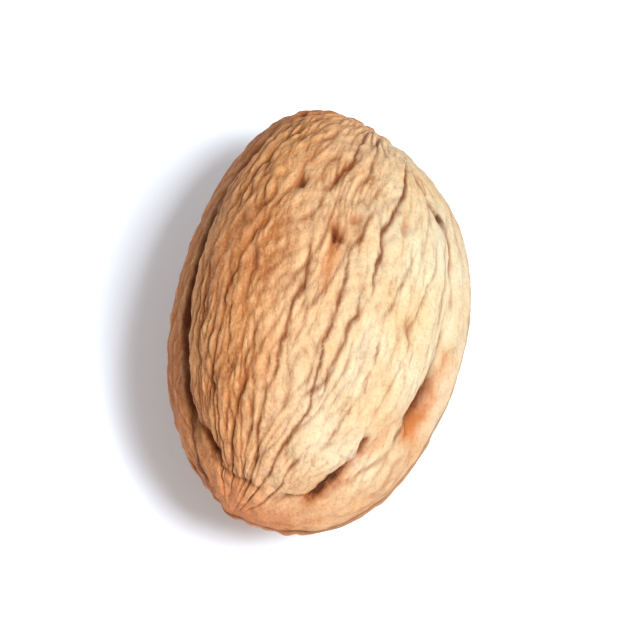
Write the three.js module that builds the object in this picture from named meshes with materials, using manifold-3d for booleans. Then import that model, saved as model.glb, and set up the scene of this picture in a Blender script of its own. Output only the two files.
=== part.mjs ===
// A walnut in its shell, lying on one cheek. Millimetres, +Z up, +X towards the pointed tip.
// The shell is one piece: an ovoid whose skin is raised along the seam and cut by furrows and pits.
// A place on the skin is two angles in degrees: around, from the +Y seam over the upper cheek, and along,
// from the tip (0) to the stem (180).
import * as THREE from "three";
import { mergeVertices } from "three/addons/utils/BufferGeometryUtils.js";
import Module from "manifold-3d";

// Ovoid body, without the seam's ridge. The seam lies in the plane of its length and width.
const HALF_LENGTH = 23.0;
const HALF_WIDTH = 13.9;
const HALF_HEIGHT = 14.2;
const TIP_FULLNESS = 0.045; // share by which the tip end is wider, and the stem end narrower
const TIP_LEAN_DEG = -18; // the tip sits off the long axis, in the seam plane
const STEM_FLAT_DEPTH = 3.7; // the stem end is blunt
const STEM_FLAT_SPREAD_DEG = 37;

// Rest: how the nut lies, and how deep its resting spot is worn flat.
const TIP_DROP_DEG = 3;
const SIDE_RISE_DEG = 3;
const FLAT_DEPTH = 0.5;
const CALM_RADIUS = 8; // the relief dies out this near to the resting spot

// Seam: a flat-topped ridge all round, a fine line along its crest and a valley on each side.
const RIDGE_HEIGHT = 1.15;
const RIDGE_HALF_WIDTH = 2.9;
const RIDGE_SQUARENESS = 2.2;
const RIDGE_END_LOSS = 0.35; // share of the height that is lost at the tip and the stem
const LINE_DEPTH = 0.3;
const LINE_HALF_WIDTH = 0.35;
const VALLEY_DEPTH = 0.25;
const VALLEY_OFFSET = 5.0;
const VALLEY_HALF_WIDTH = 1.6;

// Ends: a short point at the tip, and a scar with a low rim at the stem.
const TIP_HEIGHT = 0.4;
const TIP_RADIUS = 1.8;
const SCAR_DEPTH = 0.9;
const SCAR_RADIUS = 1.9;
const RIM_HEIGHT = 0.35;
const RIM_RADIUS = 3.6;
const RIM_HALF_WIDTH = 1.1;

// Low swellings of the cheeks.
const SWELL_HEIGHT = 0.22;
const SWELLS = [
  { x: 3.1, y: 2.4, z: -1.2, phase: 0.6 },
  { x: -2.2, y: 4.3, z: 2.6, phase: 2.1 },
  { x: 4.6, y: -1.7, z: 3.4, phase: 4.0 },
];

// Furrows wave about a straight line from their start to their end. They are as wide as this at the middle
// of the nut, and narrow at its ends.
const FURROW_HALF_WIDTH = 0.7;
const FURROW_SHARE = 0.8; // share of the depth that so wide a groove has
const FURROW_TAPER_DEG = 14;
const NARROWING = { below_sine: 0.6, least: 0.25 };
const POLE_FADE_SINE = 0.25; // furrows that run over an end die out there
const FURROW_WAVES = [
  { sway_deg: 1.7, span_deg: 62 },
  { sway_deg: 1.0, span_deg: 29 },
  { sway_deg: 0.5, span_deg: 12 },
];
const UPPER_FURROWS = [
  { around: [24, 24], along: [92, 134], depth: 0.3 },
  { around: [40, 40], along: [122, 168], depth: 0.55 },
  { around: [38, 38], along: [64, 126], depth: 0.3 },
  { around: [51, 51], along: [46, 114], depth: 0.3 },
  { around: [65, 61], along: [88, 146], depth: 0.85 },
  { around: [66, 65], along: [56, 97], depth: 0.55 },
  { around: [50, 56], along: [-4, 50], depth: 0.4 },
  { around: [62, 77], along: [-6, 118], depth: 0.58 },
  { around: [83, 83], along: [108, 160], depth: 0.45 },
  { around: [75, 96], along: [-6, 102], depth: 0.52 },
  { around: [94, 96], along: [100, 154], depth: 0.55 },
  { around: [84, 97], along: [4, 58], depth: 0.45 },
  { around: [108, 99], along: [-6, 74], depth: 0.55 },
  { around: [113, 113], along: [66, 144], depth: 0.3 },
  { around: [123, 120], along: [-2, 100], depth: 0.55 },
  { around: [134, 134], along: [86, 154], depth: 0.35 },
  { around: [138, 138], along: [34, 104], depth: 0.4 },
  { around: [155, 153], along: [4, 126], depth: 0.5 },
];
// Drawn values start at the least and spread from there.
const LOWER_FURROWS = {
  count: 15,
  first_deg: 198,
  step_deg: 10.3,
  off: { least: -3, spread: 6 },
  start: { least: 16, spread: 50 },
  end: { least: 104, spread: 52 },
  depth: { least: 0.4, spread: 0.3 },
};

// Pits: half length runs along the nut, half width round it, and turn leans the pit off its length.
const PITS = [
  { around: 131, along: 26.5, half_length: 2.2, half_width: 0.55, depth: 0.9, turn_deg: 22 },
  { around: 30.5, along: 43, half_length: 4.0, half_width: 0.65, depth: 1.1, turn_deg: 0 },
  { around: 33, along: 60, half_length: 0.9, half_width: 0.55, depth: 0.75, turn_deg: 20 },
  { around: 48, along: 138, half_length: 1.6, half_width: 0.5, depth: 0.6, turn_deg: 29 },
  { around: 34, along: 131, half_length: 1.2, half_width: 0.55, depth: 0.7, turn_deg: 50 },
  { around: 110, along: 107, half_length: 0.9, half_width: 0.65, depth: 0.8, turn_deg: 0 },
  { around: 85, along: 100, half_length: 1.1, half_width: 0.7, depth: 0.7, turn_deg: 40 },
  { around: 80, along: 107, half_length: 0.8, half_width: 0.5, depth: 0.4, turn_deg: 0 },
  { around: 57, along: 115, half_length: 0.9, half_width: 0.4, depth: 0.4, turn_deg: 0 },
  { around: 41, along: 92, half_length: 0.8, half_width: 0.55, depth: 0.4, turn_deg: 0 },
];
// Wider, shallower recesses, and dark grooves beside the seam.
const RECESSES = [
  { around: 14.5, along: 80.5, half_length: 3.3, half_width: 1.2, depth: 1.0, turn_deg: 0 },
  { around: 14, along: 95, half_length: 1.8, half_width: 1.0, depth: 0.25, turn_deg: 0 },
  { around: 27, along: 58, half_length: 6.5, half_width: 1.0, depth: 0.3, turn_deg: 0 },
  { around: 83, along: 92, half_length: 2.8, half_width: 0.9, depth: 0.35, turn_deg: 5 },
];
const GROOVES = [
  { around: 158, along: 62, half_length: 11.0, half_width: 0.5, depth: 0.9, turn_deg: 5 },
  { around: 15.5, along: 85, half_length: 2.4, half_width: 0.45, depth: 0.7, turn_deg: 6 },
];
// Seam pits follow the foot of the ridge where no pit is listed above: one row for each line of seam foot.
const SEAM_PIT_ROWS = [
  { around: 161, from: 104, count: 3 },
  { around: 199, from: 34, count: 6 },
  { around: 341, from: 38, count: 6 },
];
const SEAM_PIT = {
  step_deg: 19,
  off: { least: -4, spread: 8 },
  onward: { least: 0, spread: 11 },
  half_length: { least: 1.0, spread: 2.0 },
  half_width: { least: 0.6, spread: 0.4 },
  depth: { least: 0.5, spread: 0.5 },
};
// Creases branch off the furrows and join them into a net: short grooves that lean off the length.
const CREASE = {
  count: 64,
  around: { least: 26, spread: 128 },
  along: { least: 24, spread: 132 },
  lean_deg: { least: 20, spread: 35 },
  half_length: { least: 1.4, spread: 1.8 },
  half_width: 0.5,
  depth: { least: 0.25, spread: 0.25 },
};

// Streams of draws, one for each thing that is drawn.
const STREAM = { furrow: 1, wave: 2, pit: 3, crease: 4 };

// Mesh: grid cells round the nut and along it.
const CELLS_AROUND = 128;
const CELLS_ALONG = 44;
const FINEST_HALF_WIDTH = 0.85; // dents are at least this wide, so that the grid holds their form
const MERGE_DISTANCE = 1e-4;

const SHELL_MATERIAL = { color: 0xcf9c6c, roughness: 0.72, metalness: 0 };

const radians = THREE.MathUtils.degToRad;

/** A repeatable draw between 0 and 1, by stream, which one of the stream, and which value of that one. */
function draw(stream, index, item) {
  const spread = Math.sin((1000 * stream + 10 * index + item) * 12.9898 + 4.1414) * 43758.5453;
  return spread - Math.floor(spread);
}

/** A value from a range, by a draw. */
function pick(range, drawn) {
  return range.least + range.spread * drawn;
}

/** A smooth hump, 1 at the middle and 0.37 at one half width. */
function hump(distance, halfWidth) {
  return Math.exp(-((distance / halfWidth) ** 2));
}

/** The shortest signed turn between two angles in degrees. */
function turnBetween(angle, other) {
  return ((((angle - other + 180) % 360) + 360) % 360) - 180;
}

/** Furrows of the lower cheek, which repeat by rule with drawn places, spans and depths. */
function lowerFurrows() {
  return Array.from({ length: LOWER_FURROWS.count }, (_, index) => {
    const value = (range, item) => pick(range, draw(STREAM.furrow, index, item));
    const around = LOWER_FURROWS.first_deg + LOWER_FURROWS.step_deg * index + value(LOWER_FURROWS.off, 0);
    return {
      around: [around, around],
      along: [value(LOWER_FURROWS.start, 1), value(LOWER_FURROWS.end, 2)],
      depth: value(LOWER_FURROWS.depth, 3),
    };
  });
}

/** One pit of a row along the foot of the ridge. */
function seamPit(row, rowIndex, index) {
  const value = (range, item) => pick(range, draw(STREAM.pit, 10 * rowIndex + index, item));
  return {
    around: row.around + value(SEAM_PIT.off, 0),
    along: row.from + SEAM_PIT.step_deg * index + value(SEAM_PIT.onward, 1),
    half_length: value(SEAM_PIT.half_length, 2),
    half_width: value(SEAM_PIT.half_width, 3),
    depth: value(SEAM_PIT.depth, 4),
    turn_deg: 0,
  };
}

/** All pits along the foot of the ridge, row by row. */
function seamPits() {
  return SEAM_PIT_ROWS.flatMap((row, rowIndex) =>
    Array.from({ length: row.count }, (_, index) => seamPit(row, rowIndex, index)),
  );
}

/** Creases of both cheeks by turns, leaning to one side or the other. */
function creases() {
  return Array.from({ length: CREASE.count }, (_, index) => {
    const value = (range, item) => pick(range, draw(STREAM.crease, index, item));
    const cheek = 180 * (index % 2);
    const lean = value(CREASE.lean_deg, 2);
    const leansRight = draw(STREAM.crease, index, 5) < 0.5;
    return {
      around: cheek + value(CREASE.around, 0),
      along: value(CREASE.along, 1),
      half_length: value(CREASE.half_length, 3),
      half_width: CREASE.half_width,
      depth: value(CREASE.depth, 4),
      turn_deg: leansRight ? lean : -lean,
    };
  });
}

const FURROWS = [...UPPER_FURROWS, ...lowerFurrows()];
const DENTS = [...PITS, ...RECESSES, ...GROOVES, ...seamPits(), ...creases()];

/** Where the ovoid's skin is, and which way it faces, for degrees round and along the nut. */
function bodyAt(aroundDeg, alongDeg) {
  const around = radians(aroundDeg);
  const along = radians(alongDeg);
  const direction = new THREE.Vector3(
    Math.cos(along),
    Math.sin(along) * Math.cos(around),
    Math.sin(along) * Math.sin(around),
  ).applyAxisAngle(new THREE.Vector3(0, 0, 1), radians(TIP_LEAN_DEG));
  const fullness = 1 + TIP_FULLNESS * direction.x;
  const point = new THREE.Vector3(
    HALF_LENGTH * direction.x,
    HALF_WIDTH * fullness * direction.y,
    HALF_HEIGHT * fullness * direction.z,
  );
  const normal = new THREE.Vector3(
    direction.x / HALF_LENGTH,
    direction.y / HALF_WIDTH,
    direction.z / HALF_HEIGHT,
  ).normalize();
  return { direction, point, normal };
}

/** Low swellings: a few slow waves through the body. */
function swellRelief(direction) {
  const waves = SWELLS.map((swell) =>
    Math.sin(swell.x * direction.x + swell.y * direction.y + swell.z * direction.z + swell.phase),
  );
  return (SWELL_HEIGHT * waves.reduce((sum, wave) => sum + wave, 0)) / SWELLS.length;
}

/** The seam's ridge with its line and valleys, by height above or below the seam plane. */
function seamRelief(height, alongDeg) {
  const endShare = Math.cos(radians(alongDeg)) ** 4;
  const profile = Math.exp(-((Math.abs(height) / RIDGE_HALF_WIDTH) ** RIDGE_SQUARENESS));
  const ridge = RIDGE_HEIGHT * (1 - RIDGE_END_LOSS * endShare) * profile;
  const line = LINE_DEPTH * hump(height, LINE_HALF_WIDTH);
  const valley = VALLEY_DEPTH * hump(Math.abs(height) - VALLEY_OFFSET, VALLEY_HALF_WIDTH);
  return ridge - line - valley;
}

/** The tip's point, the blunt stem end and its scar, by angle or distance from each end. */
function endRelief(alongDeg) {
  const fromTip = HALF_WIDTH * radians(alongDeg);
  const fromStem = HALF_WIDTH * radians(180 - alongDeg);
  const point = TIP_HEIGHT * hump(fromTip, TIP_RADIUS);
  const flat = STEM_FLAT_DEPTH * hump(180 - alongDeg, STEM_FLAT_SPREAD_DEG);
  const scar = SCAR_DEPTH * hump(fromStem, SCAR_RADIUS);
  const rim = RIM_HEIGHT * hump(fromStem - RIM_RADIUS, RIM_HALF_WIDTH);
  return point - flat - scar + rim;
}

/** How deep one furrow is at a place: a groove along a waving line, tapered at both ends. */
function furrowDepth(furrow, index, aroundDeg, alongDeg) {
  const [start, end] = furrow.along;
  const inside = Math.min(alongDeg - start, end - alongDeg);
  if (inside <= 0) return 0;
  const middle = THREE.MathUtils.lerp(...furrow.around, (alongDeg - start) / (end - start));
  const sway = FURROW_WAVES.reduce((sum, wave, waveIndex) => {
    const phase = draw(STREAM.wave, index, waveIndex);
    return sum + wave.sway_deg * Math.sin(2 * Math.PI * (alongDeg / wave.span_deg + phase));
  }, 0);
  const sine = Math.sin(radians(alongDeg));
  const aside = radians(turnBetween(aroundDeg, middle + sway)) * HALF_WIDTH * sine;
  const narrowing = THREE.MathUtils.clamp(sine / NARROWING.below_sine, NARROWING.least, 1);
  const taper = Math.min(1, inside / FURROW_TAPER_DEG) * Math.min(1, sine / POLE_FADE_SINE);
  const depth = FURROW_SHARE * furrow.depth * taper;
  return depth / (1 + (aside / (FURROW_HALF_WIDTH * narrowing)) ** 2);
}

/** How deep one pit or crease is at a place: an oval dent with steep walls. */
function dentDepth(dent, aroundDeg, alongDeg) {
  const reach = HALF_WIDTH * Math.sin(radians(alongDeg));
  const aside = radians(turnBetween(aroundDeg, dent.around)) * reach;
  const onward = radians(alongDeg - dent.along) * HALF_LENGTH;
  const turn = radians(dent.turn_deg);
  const halfWidth = Math.max(dent.half_width, FINEST_HALF_WIDTH);
  const across = (aside * Math.cos(turn) - onward * Math.sin(turn)) / halfWidth;
  const length = (aside * Math.sin(turn) + onward * Math.cos(turn)) / dent.half_length;
  return dent.depth / (1 + (across ** 2 + length ** 2) ** 2);
}

/** Height of the skin over the ovoid: what is raised, less the deepest furrow and the dents. */
function reliefAt(body, aroundDeg, alongDeg) {
  const furrow = Math.max(...FURROWS.map((one, index) => furrowDepth(one, index, aroundDeg, alongDeg)));
  const dent = DENTS.reduce((sum, one) => sum + dentDepth(one, aroundDeg, alongDeg), 0);
  const raised =
    swellRelief(body.direction) + seamRelief(body.point.z, alongDeg) + endRelief(alongDeg);
  const fromRest = Math.hypot(body.point.x, body.point.y);
  const calm = body.point.z < 0 ? Math.exp(-((fromRest / CALM_RADIUS) ** 4)) : 0;
  return (raised - furrow - dent) * (1 - calm);
}

/** The shell's skin as a closed grid from the tip to the stem, with its faces outward.
 * Each cell is split along the diagonal that rises less, so that furrows stay whole. */
function shellGeometry() {
  const positions = [];
  const heights = [];
  for (let row = 0; row <= CELLS_ALONG; row++) {
    const alongDeg = (180 * row) / CELLS_ALONG;
    for (let column = 0; column <= CELLS_AROUND; column++) {
      const aroundDeg = (360 * (column % CELLS_AROUND)) / CELLS_AROUND;
      const isEnd = row === 0 || row === CELLS_ALONG;
      const body = bodyAt(isEnd ? 0 : aroundDeg, alongDeg);
      const relief = reliefAt(body, isEnd ? 0 : aroundDeg, alongDeg);
      positions.push(...body.point.addScaledVector(body.normal, relief).toArray());
      heights.push(relief);
    }
  }
  const triangles = [];
  for (let row = 0; row < CELLS_ALONG; row++) {
    for (let column = 0; column < CELLS_AROUND; column++) {
      const here = row * (CELLS_AROUND + 1) + column;
      const onward = here + CELLS_AROUND + 1;
      const rise = Math.abs(heights[here] - heights[onward + 1]);
      const otherRise = Math.abs(heights[here + 1] - heights[onward]);
      if (row === 0) triangles.push(here, onward, onward + 1);
      else if (row === CELLS_ALONG - 1) triangles.push(here, onward, here + 1);
      else if (rise < otherRise) triangles.push(here, onward, onward + 1, here, onward + 1, here + 1);
      else triangles.push(here, onward, here + 1, here + 1, onward, onward + 1);
    }
  }
  const geometry = new THREE.BufferGeometry();
  geometry.setAttribute("position", new THREE.Float32BufferAttribute(positions, 3));
  geometry.setIndex(triangles);
  return mergeVertices(geometry, MERGE_DISTANCE);
}

/** Turns the nut as it lies and sets it with its lowest FLAT_DEPTH under Z = 0, centred on the origin. */
function layDown(geometry) {
  geometry.rotateX(radians(SIDE_RISE_DEG));
  geometry.rotateY(radians(TIP_DROP_DEG));
  geometry.computeBoundingBox();
  const { min, max } = geometry.boundingBox;
  return geometry.translate(-(min.x + max.x) / 2, -(min.y + max.y) / 2, -min.z - FLAT_DEPTH);
}

/** A closed solid of a geometry, for cutting. */
function solidOf(wasm, geometry) {
  const bare = geometry.clone();
  bare.deleteAttribute("normal");
  bare.deleteAttribute("uv");
  const merged = mergeVertices(bare, MERGE_DISTANCE);
  return new wasm.Manifold(
    new wasm.Mesh({
      numProp: 3,
      vertProperties: new Float32Array(merged.attributes.position.array),
      triVerts: new Uint32Array(merged.index.array),
    }),
  );
}

/** The nut with its resting spot cut flat at Z = 0. */
async function withFlatSpot(geometry) {
  const wasm = await Module();
  wasm.setup();
  const side = 4 * HALF_LENGTH;
  const under = new THREE.BoxGeometry(side, side, side).translate(0, 0, -side / 2);
  const cut = solidOf(wasm, geometry).subtract(solidOf(wasm, under)).getMesh();
  const flat = new THREE.BufferGeometry();
  flat.setAttribute("position", new THREE.Float32BufferAttribute(cut.vertProperties, cut.numProp));
  flat.setIndex(new THREE.Uint32BufferAttribute(cut.triVerts, 1));
  flat.computeVertexNormals();
  return flat;
}

const walnut = new THREE.Mesh(
  await withFlatSpot(layDown(shellGeometry())),
  new THREE.MeshStandardMaterial(SHELL_MATERIAL),
);
walnut.name = "walnut";

const nut = new THREE.Group();
nut.add(walnut);

export default nut;
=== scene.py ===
"""A walnut in its shell, lying on one cheek on a pale floor.

The shell is one closed surface on a grid of two angles, around the nut and along it. It has the form of the
solid that it stands for, with the finer wrinkles, pores and colour of a dry nutshell.
"""
import math

import bpy
import numpy as np
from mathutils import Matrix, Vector


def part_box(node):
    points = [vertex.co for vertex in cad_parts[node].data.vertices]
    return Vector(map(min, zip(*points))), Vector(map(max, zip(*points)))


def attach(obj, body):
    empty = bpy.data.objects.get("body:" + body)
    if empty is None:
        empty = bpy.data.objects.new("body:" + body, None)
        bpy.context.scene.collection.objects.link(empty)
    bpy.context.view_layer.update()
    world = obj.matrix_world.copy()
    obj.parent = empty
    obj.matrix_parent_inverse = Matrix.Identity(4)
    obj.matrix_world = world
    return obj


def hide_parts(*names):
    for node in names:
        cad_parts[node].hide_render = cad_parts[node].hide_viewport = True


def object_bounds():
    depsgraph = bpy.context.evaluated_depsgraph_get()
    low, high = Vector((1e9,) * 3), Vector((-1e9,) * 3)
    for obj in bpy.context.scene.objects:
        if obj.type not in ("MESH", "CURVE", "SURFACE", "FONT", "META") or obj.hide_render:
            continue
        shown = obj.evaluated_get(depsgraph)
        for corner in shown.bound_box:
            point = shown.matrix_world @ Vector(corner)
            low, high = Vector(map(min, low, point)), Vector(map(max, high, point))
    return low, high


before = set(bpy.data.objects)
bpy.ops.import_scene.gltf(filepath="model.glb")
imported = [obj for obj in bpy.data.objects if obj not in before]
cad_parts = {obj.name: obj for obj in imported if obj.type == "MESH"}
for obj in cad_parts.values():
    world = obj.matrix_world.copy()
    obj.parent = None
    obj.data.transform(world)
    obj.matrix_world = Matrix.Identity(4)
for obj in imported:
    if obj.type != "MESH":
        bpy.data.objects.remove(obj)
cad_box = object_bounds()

MM = 0.001

# A place on the shell is two angles in degrees: around, from the +Y seam over the upper cheek, and along,
# from the tip (0) to the stem (180).

# Ovoid body, without the seam's ridge. The seam lies in the plane of its length and width.
HALF_LENGTH = 23.0 * MM
HALF_WIDTH = 13.9 * MM
HALF_HEIGHT = 14.2 * MM
TIP_FULLNESS = 0.045
TIP_LEAN_DEG = -18
STEM_FLAT_DEPTH = 3.7 * MM
STEM_FLAT_SPREAD_DEG = 37

# Rest: how the nut lies, and how deep its resting spot is worn flat.
TIP_DROP_DEG = 3
SIDE_RISE_DEG = 3
FLAT_DEPTH = 0.5 * MM
CALM_RADIUS = 8 * MM

# Seam: a flat-topped ridge all round, a fine line along its crest, a valley on each side and a broken line
# at its foot.
RIDGE_HEIGHT = 1.15 * MM
RIDGE_HALF_WIDTH = 2.9 * MM
RIDGE_SQUARENESS = 2.2
RIDGE_END_LOSS = 0.35
LINE_DEPTH = 0.4 * MM
LINE_HALF_WIDTH = 0.24 * MM
LINE_WANDER = 0.3 * MM
LINE_STAIN_HALF_WIDTH = 0.4 * MM
VALLEY_DEPTH = 0.25 * MM
VALLEY_OFFSET = 5.0 * MM
VALLEY_HALF_WIDTH = 1.6 * MM
FOOT_OFFSET = 4.3 * MM
FOOT_WANDER = 0.9 * MM
FOOT_HALF_WIDTH = 0.26 * MM
FOOT_DEPTH = 0.3 * MM
FOOT_STAIN = 0.5
BAND_HALF_WIDTH = 3.6 * MM
CHEEK_EDGE = 4.2 * MM

# Ends: a short point at the tip, and a scar with a low rim at the stem.
TIP_HEIGHT = 0.4 * MM
TIP_RADIUS = 1.8 * MM
TIP_TINT_RADIUS = 6.0 * MM
SCAR_DEPTH = 0.9 * MM
SCAR_RADIUS = 1.9 * MM
STEM_TINT_RADIUS = 3.0 * MM
RIM_HEIGHT = 0.35 * MM
RIM_RADIUS = 3.6 * MM
RIM_HALF_WIDTH = 1.1 * MM

# Low swellings of the cheeks: waves per half size in X, Y and Z, and a phase.
SWELL_HEIGHT = 0.22 * MM
SWELLS = [(3.1, 2.4, -1.2, 0.6), (-2.2, 4.3, 2.6, 2.1), (4.6, -1.7, 3.4, 4.0)]

# Furrows: a wide valley with a narrow crack in it. Degrees around where each starts and ends, degrees along
# where it starts and ends, and depth in millimetres.
FURROW_VALLEY_SHARE = 0.2
FURROW_HALF_WIDTH = 0.95 * MM
CRACK_SHARE = 0.5
CRACK_HALF_WIDTH = 0.15 * MM
CRACK_FULL_STAIN = 0.55 * MM
FURROW_TAPER_DEG = 14
NARROWING_BELOW_SINE = 0.6
NARROWING_LEAST = 0.25
POLE_FADE_SINE = 0.25
FURROW_WAVES = [(1.7, 62), (1.0, 29), (0.5, 12)]
UPPER_FURROWS = [
    (24, 24, 92, 134, 0.30),
    (40, 40, 122, 168, 0.55),
    (38, 38, 64, 126, 0.30),
    (51, 51, 46, 114, 0.30),
    (65, 61, 88, 146, 0.85),
    (66, 65, 56, 97, 0.55),
    (50, 56, -4, 50, 0.40),
    (62, 77, -6, 118, 0.58),
    (83, 83, 108, 160, 0.45),
    (75, 96, -6, 102, 0.52),
    (94, 96, 100, 154, 0.55),
    (84, 97, 4, 58, 0.45),
    (108, 99, -6, 74, 0.55),
    (113, 113, 66, 144, 0.30),
    (123, 120, -2, 100, 0.55),
    (134, 134, 86, 154, 0.35),
    (138, 138, 34, 104, 0.40),
    (155, 153, 4, 126, 0.50),
]
LOWER_FURROW_COUNT = 15
LOWER_FURROW_FIRST_DEG = 198
LOWER_FURROW_STEP_DEG = 10.3
LOWER_FURROW = {"aside": (-3, 3), "start": (16, 66), "end": (104, 156), "depth": (0.4, 0.7)}

# Pits: degrees around and along, half length, half width and depth in millimetres, lean off the length.
PITS = [
    (131, 26.5, 2.2, 0.55, 0.9, 22),
    (30.5, 43, 4.0, 0.65, 1.1, 0),
    (33, 60, 0.9, 0.55, 0.75, 20),
    (48, 138, 1.6, 0.50, 0.6, 29),
    (34, 131, 1.2, 0.55, 0.7, 50),
    (110, 107, 0.9, 0.65, 0.8, 0),
    (85, 100, 1.1, 0.70, 0.7, 40),
    (80, 107, 0.8, 0.50, 0.4, 0),
    (57, 115, 0.9, 0.40, 0.4, 0),
    (41, 92, 0.8, 0.55, 0.4, 0),
]
# Shallow recesses with a reddish stain, in the same order. The long one at 27 degrees around carries painted
# shade along the foot of the ridge.
RECESSES = [
    (14.5, 80.5, 3.3, 1.20, 1.0, 0),
    (14, 95, 1.8, 1.00, 0.25, 0),
    # Painted shade along the foot of the ridge.
    (27, 58, 6.5, 1.00, 0.30, 0),
    (83, 92, 2.8, 0.90, 0.35, 5),
]
# Dark grooves, in the same order, and how far their stain reaches past them. The second, under the recess's
# upper edge, is darkened as painted shadow.
GROOVES = [
    (158, 62, 11.0, 0.50, 0.9, 5),
    # Painted shadow under the recess's upper edge.
    (15.5, 85, 2.4, 0.45, 0.7, 6),
]
STAIN_AND_SHADOW_REACH_MM = 0.25
# Dark stains with no depth of their own, in the same order, with strength in place of depth. The last is
# painted shadow along the near rim of the recess.
STAINS_AND_PAINTED_SHADOWS = [
    (45, 135, 1.7, 0.45, 0.5, 29),
    (29, 131.5, 1.0, 0.45, 0.6, 50),
    (131, 26.5, 2.0, 0.55, 0.5, 22),
    (157, 19, 4.2, 0.28, 0.5, -4),
    (159.5, 97, 6.5, 0.45, 0.4, 0),
    (84.5, 99.2, 0.95, 0.3, 0.5, 76),
    (18.5, 73, 2.2, 0.28, 0.4, 0),
    # Painted shadow along the near rim of the recess.
    (14.5, 76.5, 2.2, 0.2, 0.25, 0),
]
# Rows of pits at the foot of the ridge: degrees around, where the row starts, how many.
SEAM_PIT_ROWS = [(161, 104, 3), (199, 34, 6), (341, 38, 6)]
SEAM_PIT_STEP_DEG = 19
SEAM_PIT = {
    "aside": (-4, 4), "onward": (0, 11),
    "half_length": (1, 3), "half_width": (0.6, 1), "depth": (0.5, 1),
}
# Short leaning grooves that join the furrows into a net.
CREASE_COUNT = 64
CREASE_HALF_WIDTH_MM = 0.5
CREASE_SHARE = 0.6
CREASE = {
    "around": (26, 154), "along": (24, 156), "lean": (20, 55),
    "half_length": (1.4, 3.2), "depth": (0.25, 0.5),
}
# Depth at which each kind of dent has its full colour.
PIT_FULL_STAIN = 1.0 * MM
GROOVE_FULL_STAIN_AND_SHADOW = 0.55 * MM
RECESS_FULL_STAIN_AND_SHADE = 0.55 * MM

# Repeatable draws: the fast sine that scatters them, and a stream for each thing that is drawn.
DRAW_RATE = 12.9898
DRAW_PHASE = 4.1414
DRAW_SPREAD = 43758.5453
FURROW_STREAM, WAVE_STREAM, PIT_STREAM, CREASE_STREAM = 1, 2, 3, 4

# A noise on the shell is given by its cells around, its cells along and its seed.
# Raggedness of furrows and dents: noise, and sway in degrees.
RAGGED_AROUND = [(54, 34, 21, 1.2), (130, 80, 22, 0.9)]
RAGGED_ALONG = [(54, 34, 23, 2.6), (150, 90, 24, 1.4)]
WANDER_OF_FOOT = (8, 22, 26)
WANDER_OF_LINE = (4, 24, 18)
# Lines broken into pieces: noise, and the level, the swing and the least of what is left of the line.
BREAKS_OF_CRACKS = ((26, 24, 25), 0.9, 1.2, 0.2)
BREAKS_OF_FOOT = ((8, 16, 27), 0.45, 1.6, 0)
BREAKS_OF_WRINKLES = (0.6, 1.3, 0.08)
# Nets of wrinkles between the furrows: noise, noise that breaks the lines, line width, warp, depth and stain.
# They are weaker on the ridge, and fade where their cells get narrow.
WRINKLE_WARP = (16, 7, 11)
WRINKLE_RIDGE_SHARE = 0.6
NARROW_CELL = 0.45 * MM
NARROW_CELL_LOSS = 0.6
WRINKLES = [
    ((40, 9, 12), (14, 8, 13), 0.08, 8.0, 0.22 * MM, 0.46),
    ((84, 24, 14), (18, 12, 19), 0.13, 9.0, 0.16 * MM, 0.40),
    ((160, 56, 28), (40, 30, 29), 0.16, 9.0, 0.09 * MM, 0.26),
]
# Roughness in all directions: size of a lump, seed, height all over, and more height at the two ends.
LUMPS = [(2.0 * MM, 16, 0.16 * MM, 0.25 * MM), (1.1 * MM, 15, 0.26 * MM, 0.20 * MM)]
END_SINE = 0.42
# Ragged edges, stains and lines start a little way from the two poles.
INNER_FROM_SINE = 0.04
INNER_SPREAD_SINE = 0.2
# Crests and hollows, painted with highlight and shade: how many columns to each side they are told from, and
# the height of their full colour.
CREST_REACH_COLUMNS = 5
CREST_FULL_HEIGHT = 0.12 * MM

# The side of the shell that faces the key light, which is smoother in shape and is painted paler as painted
# light, and how far it spreads.
LIT_SIDE_AROUND_DEG = 30
LIT_SIDE_POLE_POWER = 0.35
SMOOTH_SPREAD_DEG = 34
SMOOTH_LOSS = 0.6
ROUGH_TURN_DEG = 100
ROUGH_SPREAD_DEG = 40
ROUGH_GAIN = 0.15

# Colours of the shell as display values, in the order in which they are laid over each other.
COLOURS = {
    "dark tan": (174, 106, 62),
    "light tan": (212, 154, 98),
    # The creams are painted light on the side that faces the key light.
    "dark cream": (200, 178, 136),
    "light cream": (202, 199, 172),
    "smudge": (152, 86, 46),
    "streak": (178, 110, 62),
    "band": (164, 102, 60),
    "tip": (206, 136, 94),
    "tip smudge": (160, 90, 56),
    "fleck": (138, 80, 42),
    "speck": (140, 84, 46),
    "pale speck": (230, 200, 160),
    # A painted highlight on crests and painted shade in hollows.
    "crest": (236, 190, 138),
    "hollow_shade": (150, 82, 38),
    "crack": (104, 52, 18),
    # Recess tint, also used as painted shade at the ridge's foot.
    "recess": (178, 100, 42),
    "pit": (146, 76, 32),
    "pit floor": (62, 28, 10),
    # Groove darkness, also used as painted shadow at the recess's edge and rim.
    "groove": (80, 34, 12),
    "stem": (150, 88, 48),
    "line": (92, 48, 24),
}
# Noise of the finish: scale, detail and roughness. The grain is drawn out along the nut.
GRAIN_STRETCH = (0.22, 1.0, 1.0)
PATCHES = (110.0, 4.0, 0.55)
SMUDGES = (320.0, 3.0, 0.6)
STREAKS = (700.0, 5.0, 0.65)
FLECKS = (1500.0, 3.0, 0.6)
SPECKS = (3200.0, 3.0, 0.6)
# Where tan gives way to cream, painted light on the side facing the key light: how far into that side, how
# fast, how patchily, and less near the tip.
CREAM_FROM = 0.77
CREAM_RISE = 2.2
CREAM_PATCHES = 0.8
CREAM_TIP_LOSS = 0.25
BUMP_DEPTH = 0.26 * MM

# Grid of the surface.
CELLS_AROUND = 540
CELLS_ALONG = 182

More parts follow.
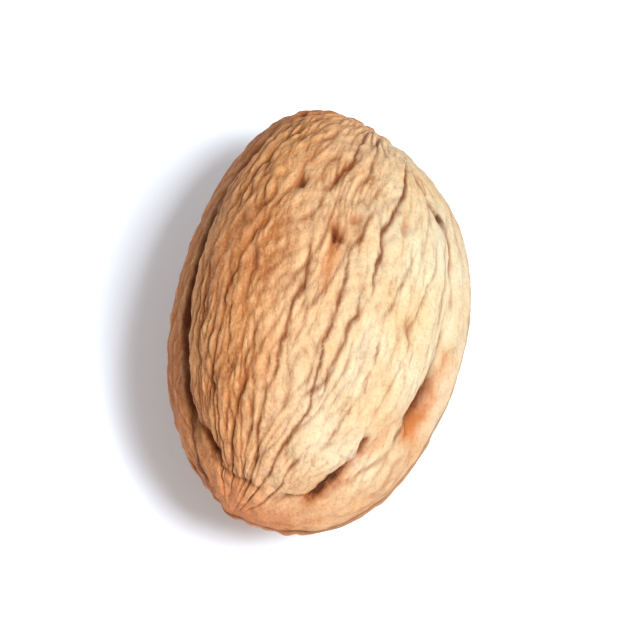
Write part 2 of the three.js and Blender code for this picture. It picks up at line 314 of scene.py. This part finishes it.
# View, floor and light. A lamp has its turn from the camera, elevation, distance, size, watts and colour.
CAMERA_AZIMUTH_DEG = 100.2
CAMERA_ELEVATION_DEG = 66
CAMERA_DISTANCE = 0.42
CAMERA_LENS_MM = 235
FLOOR_SIDE = 3.0
FLOOR_COLOURS = ((0.80, 0.86, 0.95, 1.0), (0.83, 0.89, 0.98, 1.0))
FLOOR_NOISE = (6.0, 3.0, 0.55)
LAMPS = {
    "key": (56, 60, 0.6, 0.2, 5.2, (0.96, 0.98, 1.0)),
    "fill": (-40, 45, 0.7, 0.6, 0.9, (1.0, 0.9, 0.82)),
}
SURROUND_COLOUR = (1.0, 0.95, 0.91, 1.0)
SURROUND_STRENGTH = 0.5


def draw(stream, index, item):
    """A repeatable draw from 0 to 1, by stream, which one of the stream, and which value of that one."""
    spread = math.sin((1000 * stream + 10 * index + item) * DRAW_RATE + DRAW_PHASE) * DRAW_SPREAD
    return spread - math.floor(spread)


def pick(stream, index, item, span):
    """A draw between the two ends of a span."""
    least, most = span
    return least + (most - least) * draw(stream, index, item)


def hump(distance, half_width):
    """A smooth hump, 1 at the middle and 0.37 at one half width."""
    return np.exp(-((distance / half_width) ** 2))


def plateau(distance, half_width, squareness=4):
    """A flat-topped hump, 1 at the middle and 0.37 at one half width, steeper the squarer it is."""
    return np.exp(-((np.abs(distance) / half_width) ** squareness))


def turn_between(angle, other):
    """The shortest signed turn between two angles in degrees."""
    return (angle - other + 180) % 360 - 180


def lower_furrows():
    """Furrows of the lower cheek, which repeat by rule with drawn places, spans and depths."""
    made = []
    for index in range(LOWER_FURROW_COUNT):
        middle = LOWER_FURROW_FIRST_DEG + LOWER_FURROW_STEP_DEG * index
        aside, start, end, depth = [
            pick(FURROW_STREAM, index, item, span) for item, span in enumerate(LOWER_FURROW.values())
        ]
        made.append((middle + aside, middle + aside, start, end, depth))
    return made


def seam_pits():
    """Pits along the foot of the ridge, drawn row by row."""
    made = []
    for row, (around, start, count) in enumerate(SEAM_PIT_ROWS):
        for index in range(count):
            aside, onward, *sizes = [
                pick(PIT_STREAM, 10 * row + index, item, span) for item, span in enumerate(SEAM_PIT.values())
            ]
            made.append((around + aside, start + SEAM_PIT_STEP_DEG * index + onward, *sizes, 0))
    return made


def creases():
    """Short leaning grooves that join the furrows into a net, on both cheeks by turns."""
    made = []
    for index in range(CREASE_COUNT):
        around, along, lean, half_length, depth = [
            pick(CREASE_STREAM, index, item, span) for item, span in enumerate(CREASE.values())
        ]
        if draw(CREASE_STREAM, index, len(CREASE)) >= 0.5:
            lean = -lean
        made.append((180 * (index % 2) + around, along, half_length, CREASE_HALF_WIDTH_MM, depth, lean))
    return made


def body_at(around, along):
    """The ovoid: a unit direction from both angles, leaned in the seam plane and stretched by the half sizes.

    Returns the direction, the point and the outward normal for every grid place."""
    around, along = np.radians(around), np.radians(along)
    lean = math.radians(TIP_LEAN_DEG)
    lengthwise, sideways = np.cos(along), np.sin(along) * np.cos(around)
    direction = np.stack([
        math.cos(lean) * lengthwise - math.sin(lean) * sideways,
        math.sin(lean) * lengthwise + math.cos(lean) * sideways,
        np.sin(along) * np.sin(around),
    ], axis=-1)
    half_sizes = np.array([HALF_LENGTH, HALF_WIDTH, HALF_HEIGHT])
    point = direction * half_sizes
    point[..., 1:] *= 1 + TIP_FULLNESS * direction[..., :1]
    normal = direction / half_sizes
    normal /= np.linalg.norm(normal, axis=-1, keepdims=True)
    return direction, point, normal


def swell_relief(direction):
    """Low swellings: a few slow waves through the body."""
    waves = [np.sin(direction @ np.array(swell[:3]) + swell[3]) for swell in SWELLS]
    return SWELL_HEIGHT * sum(waves) / len(SWELLS)


def ridge_relief(height, along):
    """The seam's ridge and the valleys beside it, by height above or below the seam plane."""
    end_share = np.cos(np.radians(along)) ** 4
    profile = plateau(height, RIDGE_HALF_WIDTH, RIDGE_SQUARENESS)
    valley = VALLEY_DEPTH * hump(np.abs(height) - VALLEY_OFFSET, VALLEY_HALF_WIDTH)
    return RIDGE_HEIGHT * (1 - RIDGE_END_LOSS * end_share) * profile - valley


def end_relief(along):
    """The tip's point, the blunt stem end and its scar, by angle or distance from each end."""
    from_tip = HALF_WIDTH * np.radians(along)
    from_stem = HALF_WIDTH * np.radians(180 - along)
    point = TIP_HEIGHT * hump(from_tip, TIP_RADIUS)
    flat = STEM_FLAT_DEPTH * hump(180 - along, STEM_FLAT_SPREAD_DEG)
    scar = SCAR_DEPTH * hump(from_stem, SCAR_RADIUS)
    return point - flat - scar + RIM_HEIGHT * hump(from_stem - RIM_RADIUS, RIM_HALF_WIDTH)


def furrow_lines(around, along):
    """The deepest furrow at each place, as a wide valley and a narrow crack along its floor.

    Each waves about a straight line from its start to its end, tapers off there, and narrows towards the
    poles."""
    valley, crack = np.zeros_like(around), np.zeros_like(around)
    near_end = np.sin(np.radians(along))
    reach = HALF_WIDTH * near_end
    narrowing = np.clip(near_end / NARROWING_BELOW_SINE, NARROWING_LEAST, 1)
    for index, (first, last, start, end, depth) in enumerate(UPPER_FURROWS + lower_furrows()):
        middle = first + (last - first) * (along - start) / (end - start)
        sway = sum(
            sway_deg * np.sin(2 * np.pi * (along / span_deg + draw(WAVE_STREAM, index, wave)))
            for wave, (sway_deg, span_deg) in enumerate(FURROW_WAVES)
        )
        aside = np.abs(np.radians(turn_between(around, middle + sway)) * reach)
        taper = depth * MM * np.clip(np.minimum(along - start, end - along) / FURROW_TAPER_DEG, 0, 1)
        taper *= np.clip(near_end / POLE_FADE_SINE, 0, 1)
        valley = np.maximum(valley, taper / (1 + (aside / (FURROW_HALF_WIDTH * narrowing)) ** 2))
        crack = np.maximum(crack, taper * np.exp(-aside / (CRACK_HALF_WIDTH * narrowing)))
    return valley, crack


def dent_depth(around, along, dents):
    """Oval dents, summed.

    Each is steep-walled, by distance from its middle counted in half widths and half lengths."""
    total = np.zeros_like(around)
    reach = HALF_WIDTH * np.sin(np.radians(along))
    for middle, place, half_length, half_width, depth, turn_deg in dents:
        aside = np.radians(turn_between(around, middle)) * reach
        onward = np.radians(along - place) * HALF_LENGTH
        turn = math.radians(turn_deg)
        across = (aside * math.cos(turn) - onward * math.sin(turn)) / (half_width * MM)
        length = (aside * math.sin(turn) + onward * math.cos(turn)) / (half_length * MM)
        total += depth * MM / (1 + (across ** 2 + length ** 2) ** 2)
    return total


def widened_by_stain_and_shadow(dents):
    """The same dents, wider by the reach of their dark colour: a stain round most, painted shadow round the
    slit under the recess's edge.
    """
    return [(*dent[:3], dent[3] + STAIN_AND_SHADOW_REACH_MM, *dent[4:]) for dent in dents]


def eased(share):
    """A share from 0 to 1 that starts and ends gently."""
    return share ** 3 * (share * (share * 6 - 15) + 10)


def shell_noise(around, along, lattice):
    """Gradient noise that closes round the nut.

    Drawn slopes at the points of a lattice are blended smoothly between them."""
    cells_around, cells_along, seed = lattice
    slope = np.random.default_rng(seed).uniform(0, 2 * np.pi, (cells_along + 3, cells_around))
    u = around % 360 / 360 * cells_around
    v = np.clip(along / 180 * cells_along, 0, cells_along)
    column, row = np.floor(u).astype(int), np.floor(v).astype(int)
    u, v = u - column, v - row

    def corner(right, up):
        angle = slope[row + up, (column + right) % cells_around]
        return np.cos(angle) * (u - right) + np.sin(angle) * (v - up)

    low = corner(0, 0) * (1 - eased(u)) + corner(1, 0) * eased(u)
    high = corner(0, 1) * (1 - eased(u)) + corner(1, 1) * eased(u)
    return low * (1 - eased(v)) + high * eased(v)


def space_noise(point, cell, seed):
    """Gradient noise in space.

    Drawn slopes at the corners of a box lattice are blended smoothly between them."""
    place = point / cell
    first = np.floor(place).astype(int)
    share = place - first
    first -= first.min(axis=(0, 1))
    slope = np.random.default_rng(seed).normal(size=(*(first.max(axis=(0, 1)) + 2), 3))
    slope /= np.linalg.norm(slope, axis=-1, keepdims=True)
    total = np.zeros(place.shape[:2])
    for corner in np.ndindex(2, 2, 2):
        weight = np.prod(np.where(corner, eased(share), 1 - eased(share)), axis=-1)
        x, y, z = np.moveaxis(first + corner, -1, 0)
        total += weight * np.sum(slope[x, y, z] * (share - corner), axis=-1)
    return total


def broken(around, along, lattice, level, swing, least):
    """How much of a broken line is left: a level and a swing of noise, held between the least and 1."""
    return np.clip(level + swing * shell_noise(around, along, lattice), least, 1)


def wrinkle_nets(around, along, amount):
    """Nets of fine lines where a warped noise passes through zero, broken by another noise.

    A net fades out where its lines would crowd towards the poles. Returns the depth and the stain."""
    depth, stain = np.zeros_like(around), np.zeros_like(around)
    warp = shell_noise(around, along, WRINKLE_WARP)
    girth = 2 * np.pi * HALF_WIDTH * np.sin(np.radians(along))
    for net, breaks, line_width, warp_deg, net_depth, net_stain in WRINKLES:
        lines = np.exp(-np.abs(shell_noise(around + warp_deg * warp, along, net)) / line_width)
        lines *= broken(around, along, breaks, *BREAKS_OF_WRINKLES)
        lines *= amount * np.clip(girth / net[0] / NARROW_CELL - NARROW_CELL_LOSS, 0, 1)
        depth += net_depth * lines
        stain += net_stain * lines
    return depth, stain


def lump_relief(point, at_ends, amount):
    """Roughness of the shell in all directions, stronger at the two ends."""
    return sum(
        space_noise(point, size, seed) * (all_over * amount + more * at_ends)
        for size, seed, all_over, more in LUMPS
    )


def ragged(around, along, layers, amount):
    """How far a place is swayed by layers of noise, in degrees."""
    return amount * sum(sway * shell_noise(around, along, lattice) for *lattice, sway in layers)


def mean_around(values):
    """The mean of each place and its near neighbours around the nut."""
    shifts = range(-CREST_REACH_COLUMNS, CREST_REACH_COLUMNS + 1)
    return sum(np.roll(values, shift, axis=1) for shift in shifts) / len(shifts)


def nut_surface():
    """The shell: the ovoid, moved along its normals by the relief, laid down and worn flat underneath.

    Returns the points of the grid, and what the finish needs to know at each."""
    around, along = np.meshgrid(
        np.linspace(0, 360, CELLS_AROUND, endpoint=False), np.linspace(0, 180, CELLS_ALONG + 1)
    )
    direction, body, normal = body_at(around, along)
    height = body[..., 2]
    near_end = np.sin(np.radians(along))
    inner = np.clip((near_end - INNER_FROM_SINE) / INNER_SPREAD_SINE, 0, 1)
    on_cheek = 1 - plateau(height, CHEEK_EDGE)
    smooth_side = hump(turn_between(around, LIT_SIDE_AROUND_DEG), SMOOTH_SPREAD_DEG)
    rough_side = hump(turn_between(around, LIT_SIDE_AROUND_DEG + ROUGH_TURN_DEG), ROUGH_SPREAD_DEG)

    swayed_around = around + ragged(around, along, RAGGED_AROUND, inner)
    swayed_along = along + ragged(around, along, RAGGED_ALONG, inner)
    valley, crack = furrow_lines(swayed_around, along)
    crack *= broken(around, along, *BREAKS_OF_CRACKS)
    pit = dent_depth(swayed_around, swayed_along, PITS + seam_pits())
    recess = dent_depth(swayed_around, swayed_along, RECESSES)
    crease = dent_depth(swayed_around, swayed_along, creases())
    groove = dent_depth(swayed_around, swayed_along, GROOVES)
    # Stains, with painted shadow at the recess's edge and rim.
    groove_stain_and_shadow = dent_depth(swayed_around, swayed_along, widened_by_stain_and_shadow(GROOVES) + STAINS_AND_PAINTED_SHADOWS)

    wrinkled = WRINKLE_RIDGE_SHARE + (1 - WRINKLE_RIDGE_SHARE) * on_cheek
    wrinkled *= 1 - SMOOTH_LOSS * smooth_side + ROUGH_GAIN * rough_side
    wrinkle, wrinkle_stain = wrinkle_nets(around, along, wrinkled)
    foot_place = FOOT_OFFSET + FOOT_WANDER * shell_noise(around, along, WANDER_OF_FOOT)
    foot = hump(np.abs(height) - foot_place, FOOT_HALF_WIDTH) * inner
    foot *= broken(around, along, *BREAKS_OF_FOOT)
    from_line = height - LINE_WANDER * shell_noise(around, along, WANDER_OF_LINE) * near_end

    raised = swell_relief(direction) + ridge_relief(height, along) + end_relief(along)
    lumps = lump_relief(body, hump(near_end, END_SINE), 1 - SMOOTH_LOSS * smooth_side)
    carved = FURROW_VALLEY_SHARE * valley + CRACK_SHARE * crack + wrinkle + FOOT_DEPTH * foot
    dents = pit + recess + groove + CREASE_SHARE * crease + LINE_DEPTH * hump(from_line, LINE_HALF_WIDTH)
    from_rest = np.hypot(body[..., 0], body[..., 1])
    calm = np.where(height < 0, plateau(from_rest, CALM_RADIUS), 0)
    point = body + normal * ((raised + lumps - carved - dents) * (1 - calm))[..., None]

    # Painted light: how far each place turns toward the side that faces the key light.
    toward_lit_side = near_end ** LIT_SIDE_POLE_POWER * np.cos(np.radians(around - LIT_SIDE_AROUND_DEG))
    sunk = carved - lumps
    # Painted highlight and shade: places above the mean of their neighbours around are lightened, places
    # below it darkened.
    hollow_shade = (sunk - mean_around(sunk)) / CREST_FULL_HEIGHT * inner
    marks = {
        "crest": np.clip(-hollow_shade, 0, 1),
        "hollow_shade": np.clip(hollow_shade, 0, 1),
        "crack": np.clip(crack / CRACK_FULL_STAIN + wrinkle_stain + FOOT_STAIN * foot, 0, 1),
        "pit": np.clip(pit / PIT_FULL_STAIN, 0, 1),
        # Groove stains together with painted shadow at the recess.
        "groove": np.clip(groove_stain_and_shadow / GROOVE_FULL_STAIN_AND_SHADOW, 0, 1),
        # Recess tint, with painted shade where the long recess follows the ridge's foot.
        "recess": np.clip(recess / RECESS_FULL_STAIN_AND_SHADE, 0, 1),
        "line": hump(from_line, LINE_STAIN_HALF_WIDTH),
        "band": plateau(height, BAND_HALF_WIDTH),
        # Painted light: paler towards the side that faces the key light.
        "painted_lit_side": 0.5 + 0.5 * toward_lit_side,
        "tip": hump(HALF_WIDTH * np.radians(along), TIP_TINT_RADIUS),
        "tipward": np.cos(np.radians(along)),
        "stem": hump(HALF_WIDTH * np.radians(180 - along), STEM_TINT_RADIUS),
        "grain": body,
    }
    return lay_down(point), marks


def lay_down(point):
    """Turns the nut as it lies, sets it on Z = 0 amid the solid's box, and flattens what is underneath."""
    roll, drop = math.radians(SIDE_RISE_DEG), math.radians(TIP_DROP_DEG)
    x, y, z = np.moveaxis(point, -1, 0)
    y, z = y * math.cos(roll) - z * math.sin(roll), y * math.sin(roll) + z * math.cos(roll)
    x, z = x * math.cos(drop) + z * math.sin(drop), z * math.cos(drop) - x * math.sin(drop)
    low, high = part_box("walnut")
    x = x - (x.min() + x.max()) / 2 + (low.x + high.x) / 2
    y = y - (y.min() + y.max()) / 2 + (low.y + high.y) / 2
    z = np.maximum(z - z.min() - FLAT_DEPTH, 0)
    return np.stack([x, y, z], axis=-1)


def closed_grid(name, point, marks):
    """A mesh of a grid that closes round and ends in a point at its first and last row."""
    rows, columns = point.shape[0] - 2, point.shape[1]

    def flat(values):
        inner = values[1:-1].reshape(rows * columns, *values.shape[2:])
        return np.concatenate([values[:1, 0], inner, values[-1:, 0]])

    ring = np.arange(columns)
    after = (ring + 1) % columns
    start = 1 + columns * np.arange(rows - 1)[:, None]
    quads = np.stack([start + ring, start + columns + ring, start + columns + after, start + after], axis=-1)
    last = 1 + columns * (rows - 1)
    tip = np.stack([np.zeros_like(ring), 1 + ring, 1 + after], axis=-1)
    stem = np.stack([np.full_like(ring, last + columns), last + after, last + ring], axis=-1)
    corners = np.concatenate([quads.ravel(), tip.ravel(), stem.ravel()])
    sizes = np.concatenate([np.full(quads.size // 4, 4), np.full(2 * columns, 3)])

    mesh = bpy.data.meshes.new(name)
    points = flat(point)
    mesh.vertices.add(len(points))
    mesh.vertices.foreach_set("co", points.astype(np.float32).ravel())
    mesh.loops.add(len(corners))
    mesh.loops.foreach_set("vertex_index", corners.astype(np.int32))
    mesh.polygons.add(len(sizes))
    mesh.polygons.foreach_set("loop_start", (np.cumsum(sizes) - sizes).astype(np.int32))
    mesh.polygons.foreach_set("use_smooth", np.ones(len(sizes), bool))
    mesh.update(calc_edges=True)
    for mark, values in marks.items():
        values = flat(values).astype(np.float32)
        kind, field = ("FLOAT_VECTOR", "vector") if values.ndim == 2 else ("FLOAT", "value")
        mesh.attributes.new(mark, kind, "POINT").data.foreach_set(field, values.ravel())
    made = bpy.data.objects.new(name, mesh)
    bpy.context.scene.collection.objects.link(made)
    return made


class Wire:
    """A value in a material: arithmetic on it adds Math nodes."""

    def __init__(self, finish, socket):
        self.finish = finish
        self.socket = socket

    def math(self, operation, first, second=0.0, clamp=False):
        return self.finish.node(
            "ShaderNodeMath", {"operation": operation, "use_clamp": clamp}, {0: first, 1: second}
        )

    def __add__(self, other):
        return self.math("ADD", self, other)

    __radd__ = __add__

    def __sub__(self, other):
        return self.math("SUBTRACT", self, other)

    def __rsub__(self, other):
        return self.math("SUBTRACT", other, self)

    def __mul__(self, other):
        return self.math("MULTIPLY", self, other)

    __rmul__ = __mul__

    def clamped(self):
        return self.math("ADD", self, 0.0, clamp=True)

    def past(self, edge, rise):
        """A mask that starts where the value passes an edge, and grows by its rise to 1."""
        return ((self - edge) * rise).clamped()


class Finish:
    """A material, built from nodes by plain calls."""

    def __init__(self, name):
        self.material = bpy.data.materials.new(name)
        self.material.use_nodes = True
        self.tree = self.material.node_tree
        self.shader = self.tree.nodes["Principled BSDF"]

    def node(self, kind, settings, sockets, output=0):
        """Adds one node: its settings first, then the values or links of its sockets."""
        made = self.tree.nodes.new(kind)
        for name, value in settings.items():
            setattr(made, name, value)
        for name, value in sockets.items():
            self.set(made.inputs[name], value)
        return Wire(self, made.outputs[output])

    def set(self, socket, value):
        if isinstance(value, Wire):
            self.tree.links.new(value.socket, socket)
        else:
            socket.default_value = value

    def mark(self, name, output="Fac"):
        return self.node("ShaderNodeAttribute", {"attribute_name": name}, {}, output)

    def noise(self, place, scale, detail, roughness):
        sockets = {"Vector": place, "Scale": scale, "Detail": detail, "Roughness": roughness}
        return self.node("ShaderNodeTexNoise", {}, sockets)

    def blend(self, share, under, over):
        """A colour between two, by a share."""
        return self.node("ShaderNodeMix", {"data_type": "RGBA"}, {0: share, 6: under, 7: over}, 2)

    def surface(self, **sockets):
        for name, value in sockets.items():
            self.set(self.shader.inputs[name.replace("_", " ")], value)


def rgb(red, green, blue):
    """A colour socket's value from display values of 0 to 255."""
    return tuple((value / 255) ** 2.2 for value in (red, green, blue)) + (1.0,)


def shell_finish():
    """Dry nutshell: tan that gives way to cream on the side that faces the key light, as painted light, under
    many thin layers of colour.

    Streaks, flecks and specks come from noise along the grain, and the colours of furrows, pits and the seam
    from the marks of the surface. Crests get a painted highlight and hollows painted shade. Each layer has a
    share and the colour that it brings."""
    shell = Finish("nutshell")
    place = shell.node("ShaderNodeTexCoord", {}, {}, "Object")
    grain = shell.node(
        "ShaderNodeVectorMath", {"operation": "MULTIPLY"},
        {0: shell.mark("grain", "Vector"), 1: GRAIN_STRETCH},
    )
    paint = {name: rgb(*colour) for name, colour in COLOURS.items()}
    crack = shell.mark("crack")
    band = shell.mark("band")
    painted_lit_side = shell.mark("painted_lit_side")
    tip = shell.mark("tip")
    tipward = shell.mark("tipward")

    patches = shell.noise(place, *PATCHES)
    smudges = shell.noise(grain, *SMUDGES)
    streaks = shell.noise(grain, *STREAKS)
    flecks = shell.noise(grain, *FLECKS)
    specks = shell.noise(place, *SPECKS)
    fibres = 2.0 * streaks
    pit = (shell.mark("pit") * fibres).clamped()
    groove = (shell.mark("groove") * fibres).clamped()
    recess = (shell.mark("recess") * fibres).clamped()

    def by_side(on_tan, on_cream):
        """A share that changes from the shaded tan side to the pale lit side, as painted light and shade."""
        return on_tan + (on_cream - on_tan) * painted_lit_side

    mottle = patches.past(0.333, 3.0)
    tan = shell.blend(mottle, paint["dark tan"], paint["light tan"])
    cream = shell.blend(mottle, paint["dark cream"], paint["light cream"])
    # Cream over tan towards the lit side is painted light.
    pale = (painted_lit_side - CREAM_FROM) * CREAM_RISE + 0.5 + (patches - 0.5) * CREAM_PATCHES
    colour = shell.blend((pale - CREAM_TIP_LOSS * tipward).clamped(), tan, cream)
    # Shares that go by side are painted light and shade: smudges, streaks, flecks, specks and the band are
    # darker on the shaded side.
    layers = {
        "smudge": smudges.past(0.52, 5.0) * by_side(0.6, 0.05),
        "streak": streaks.past(0.385, 2.6) * by_side(0.55, 0.1),
        "band": band * (by_side(0.9, 0.2) + 0.1 * tipward),
        "tip": tip * 0.7,
        "tip smudge": smudges.past(0.5, 6.0) * tip * 0.5,
        "fleck": flecks.past(0.57, 7.0) * by_side(0.65, 0.35),
        "speck": specks.past(0.54, 6.0) * by_side(0.65, 0.3),
        "pale speck": specks.past(0.46, -6.0) * (0.3 - 0.2 * band),
        # Painted highlight on crests and painted shade in hollows.
        "crest": shell.mark("crest") * 0.5,
        "hollow_shade": shell.mark("hollow_shade") * 0.5,
        "crack": crack * 0.9,
        # Reddish tint of the recesses, with painted shade along the ridge's foot.
        "recess": recess * (0.3 + 0.6 * recess),
        "pit": (pit * 1.7).clamped() * 0.8,
        "pit floor": pit.past(0.5, 2.5) * 0.9,
        # Dark grooves and stains, with painted shadow at the recess's edge and rim.
        "groove": groove * 0.9,
        "stem": shell.mark("stem") * 0.25,
        "line": shell.mark("line") * 0.8,
    }
    for name, share in layers.items():
        colour = shell.blend(share, colour, paint[name])

    bumps = streaks * 0.5 + flecks * 0.4 + specks * 0.5
    normal = shell.node(
        "ShaderNodeBump", {}, {"Strength": 1.0, "Distance": BUMP_DEPTH, "Height": bumps}
    )
    shell.surface(
        Base_Color=colour,
        Roughness=(0.66 + 0.2 * crack + 0.2 * (streaks - 0.5)).clamped(),
        Specular_IOR_Level=0.15,
        Normal=normal,
    )
    return shell.material


def floor_finish():
    """Plain white floor with a hardly seen unevenness."""
    paper = Finish("white_floor")
    place = paper.node("ShaderNodeTexCoord", {}, {}, "Object")
    paper.surface(
        Base_Color=paper.blend(paper.noise(place, *FLOOR_NOISE), *FLOOR_COLOURS),
        Roughness=0.85,
    )
    return paper.material


def make_floor():
    """A flat square under the nut."""
    half = FLOOR_SIDE / 2
    mesh = bpy.data.meshes.new("floor")
    corners = [(-half, -half, 0), (half, -half, 0), (half, half, 0), (-half, half, 0)]
    mesh.from_pydata(corners, [], [(0, 1, 2, 3)])
    floor = bpy.data.objects.new("floor", mesh)
    bpy.context.scene.collection.objects.link(floor)
    mesh.materials.append(floor_finish())


def toward(azimuth_deg, elevation_deg):
    """The direction from the nut to something at an azimuth (0 is in front, at -Y) and an elevation."""
    azimuth, elevation = math.radians(azimuth_deg), math.radians(elevation_deg)
    level = math.cos(elevation)
    return Vector((math.sin(azimuth) * level, -math.cos(azimuth) * level, math.sin(elevation)))


def aim(thing, target, direction, distance):
    """Puts a camera or a lamp at a distance from the target, looking at it."""
    thing.location = target + direction * distance
    thing.rotation_mode = "QUATERNION"
    thing.rotation_quaternion = (-direction).to_track_quat("-Z", "Y")
    bpy.context.scene.collection.objects.link(thing)


def make_camera(target):
    """A long lens at the height and side that the nut is seen from."""
    lens = bpy.data.cameras.new("camera")
    lens.lens = CAMERA_LENS_MM
    camera = bpy.data.objects.new("camera", lens)
    aim(camera, target, toward(CAMERA_AZIMUTH_DEG, CAMERA_ELEVATION_DEG), CAMERA_DISTANCE)
    bpy.context.scene.camera = camera


def make_lamp(name, target, turn_deg, elevation_deg, distance, size, watts, colour):
    """A square soft lamp, at a turn from the camera's side."""
    light = bpy.data.lights.new(name, "AREA")
    light.size = size
    light.energy = watts
    light.color = colour
    direction = toward(CAMERA_AZIMUTH_DEG + turn_deg, elevation_deg)
    aim(bpy.data.objects.new(name, light), target, direction, distance)


def make_light(target):
    """A soft key from the camera's right, a weak fill from its left, and an even pale surround."""
    for name, lamp in LAMPS.items():
        make_lamp(name, target, *lamp)
    world = bpy.data.worlds.new("studio")
    world.use_nodes = True
    surround = world.node_tree.nodes["Background"]
    surround.inputs["Color"].default_value = SURROUND_COLOUR
    surround.inputs["Strength"].default_value = SURROUND_STRENGTH
    bpy.context.scene.world = world
    bpy.context.scene.view_settings.view_transform = "Standard"


def make_walnut():
    """The nut's finished shell, in place of its plain solid."""
    shell = closed_grid("walnut_shell", *nut_surface())
    shell.data.materials.append(shell_finish())
    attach(shell, "root")
    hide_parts("walnut")


middle = (cad_box[0] + cad_box[1]) / 2
make_camera(middle)
make_walnut()
make_floor()
make_light(middle)
